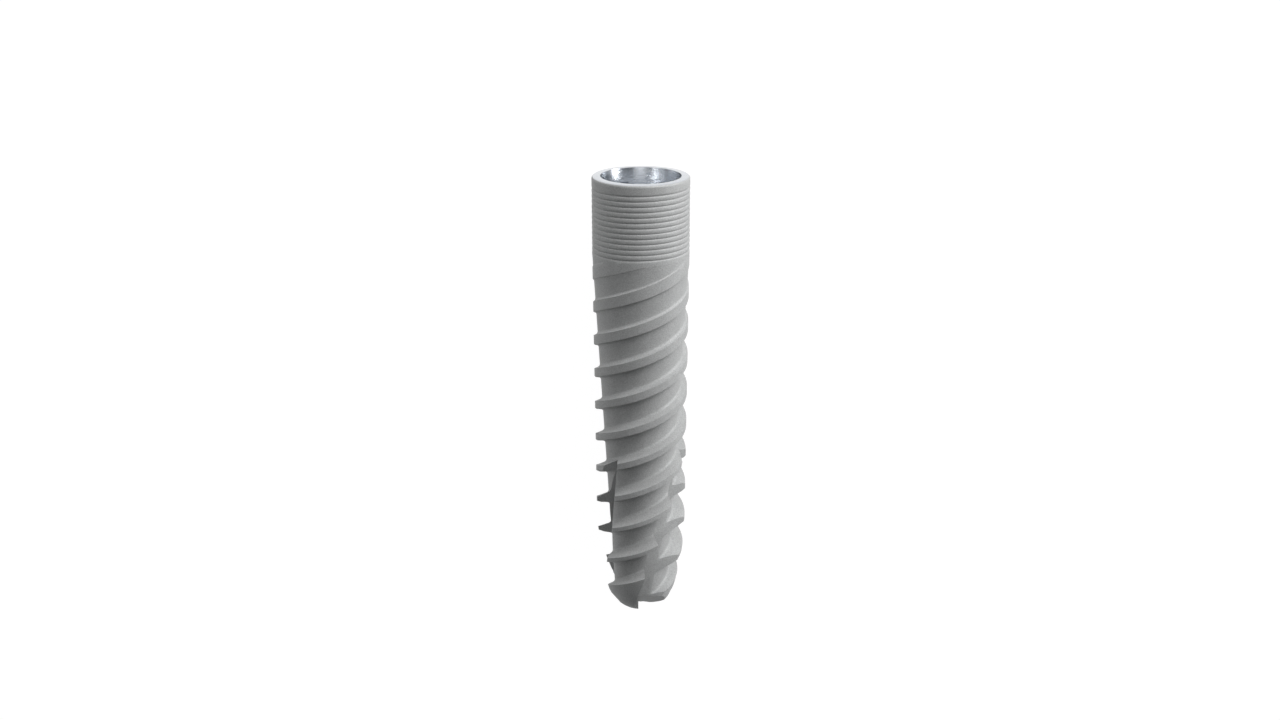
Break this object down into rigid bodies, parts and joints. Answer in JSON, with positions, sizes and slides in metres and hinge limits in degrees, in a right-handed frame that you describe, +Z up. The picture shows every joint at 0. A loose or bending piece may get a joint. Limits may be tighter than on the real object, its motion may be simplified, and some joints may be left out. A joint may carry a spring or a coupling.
{
  "type": "dental implant",
  "caption": "Endosseous dental implant fixture: a tapered right-hand screw with a smooth collar, an internal conical connection, cutting flutes and a domed apex.",
  "frame": {"origin": "on the surface that the lying implant rests on, under the middle of its length", "axes": "+Y along the implant's axis out of the bore's mouth, +Z up, away from the surface"},
  "size_m": [0.0032, 0.0159, 0.0033],
  "materials": {
    "titanium": "blasted and etched, matt; the rim and the bore are machined bright"
  },
  "bodies": {
    "root": {"implant_body": "titanium"}
  },
  "joints": []
}
